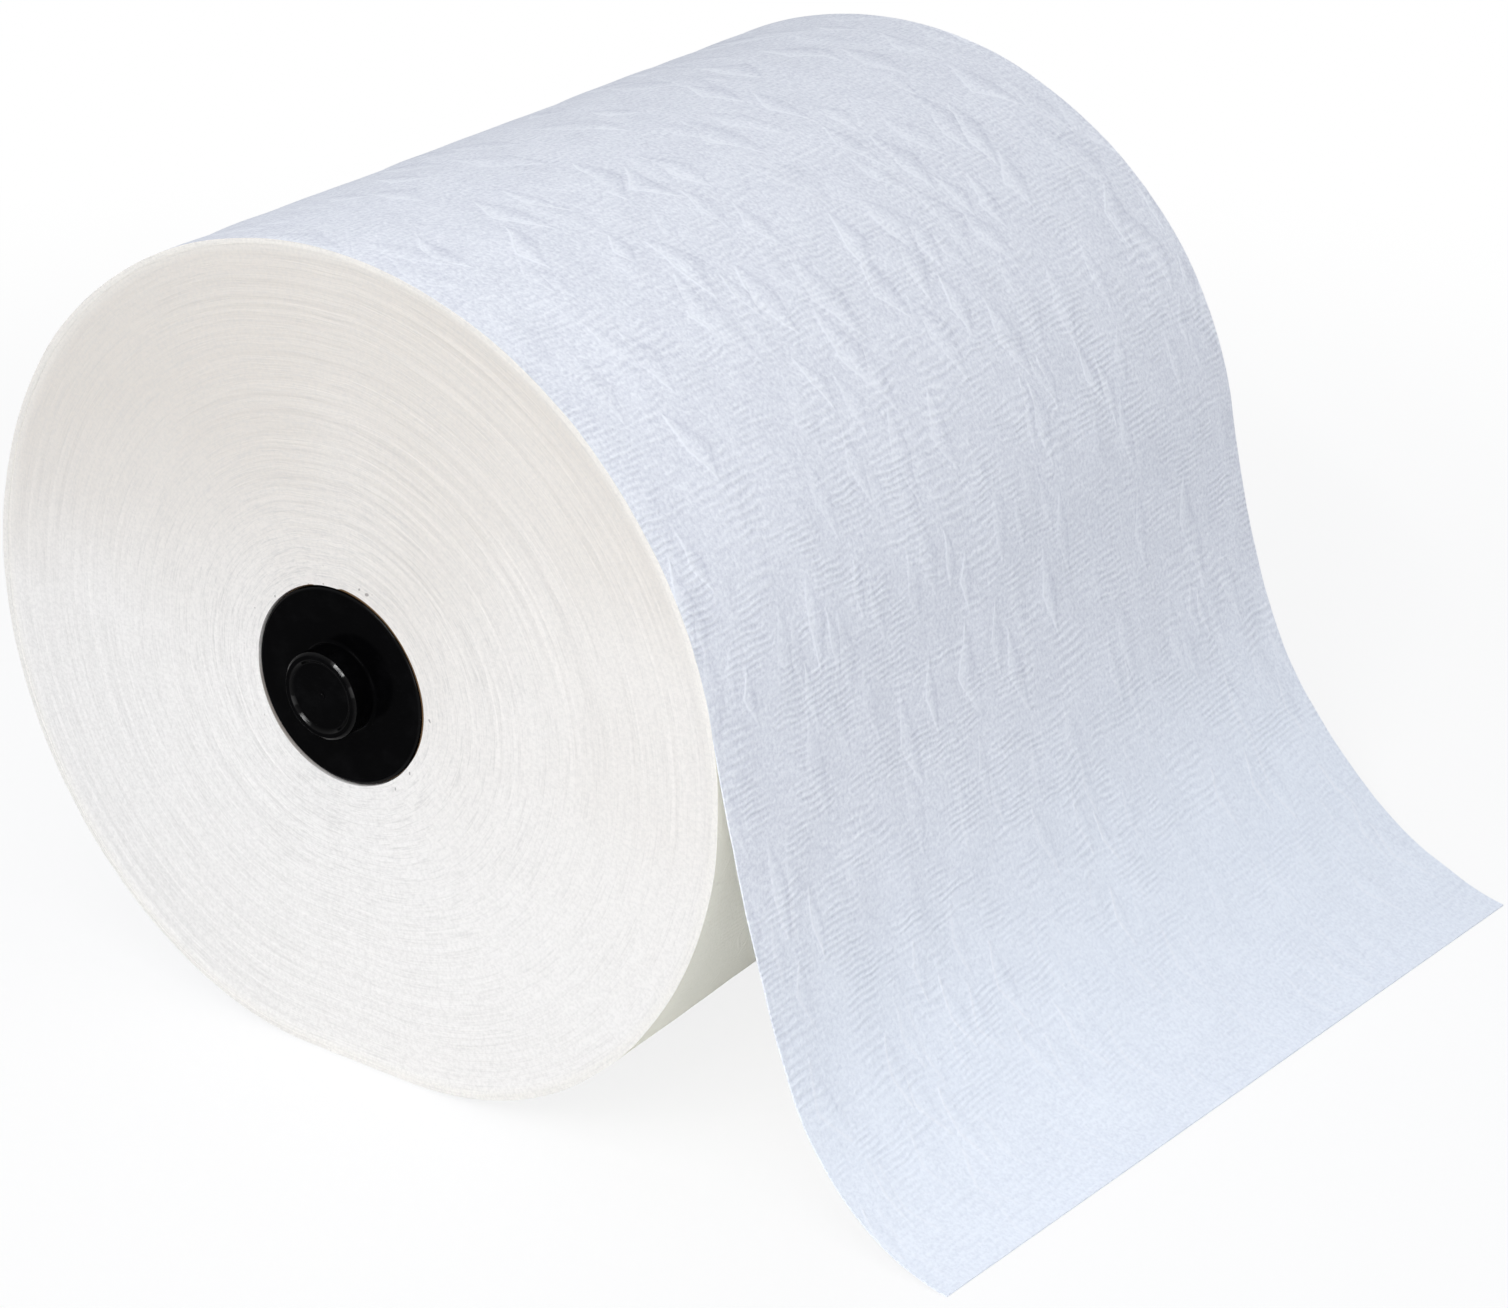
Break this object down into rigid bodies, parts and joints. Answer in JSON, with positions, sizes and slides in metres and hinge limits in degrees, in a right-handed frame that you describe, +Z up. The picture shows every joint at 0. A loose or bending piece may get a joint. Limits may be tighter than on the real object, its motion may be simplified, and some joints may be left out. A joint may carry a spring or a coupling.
{
  "type": "paper towel roll",
  "caption": "Hard-wound white paper towel roll on a board core with black hub plugs, lying on its side with the free end of the web run out.",
  "frame": {"origin": "middle of the flat spot that the roll lies on, straight below the middle of the roll's axis", "axes": "+Y along the roll's axis towards the rear end, +Z up, +X towards the free end of the web"},
  "size_m": [0.2728, 0.2214, 0.1875],
  "materials": {
    "towel_paper": "soft creped white paper, lightly embossed",
    "core_board": "plain kraft board",
    "plug_plastic": "glossy moulded black plastic"
  },
  "bodies": {
    "root": {"paper_roll": "towel_paper", "core_tube": "core_board", "front_end_plug": "plug_plastic", "rear_end_plug": "plug_plastic"}
  },
  "joints": []
}
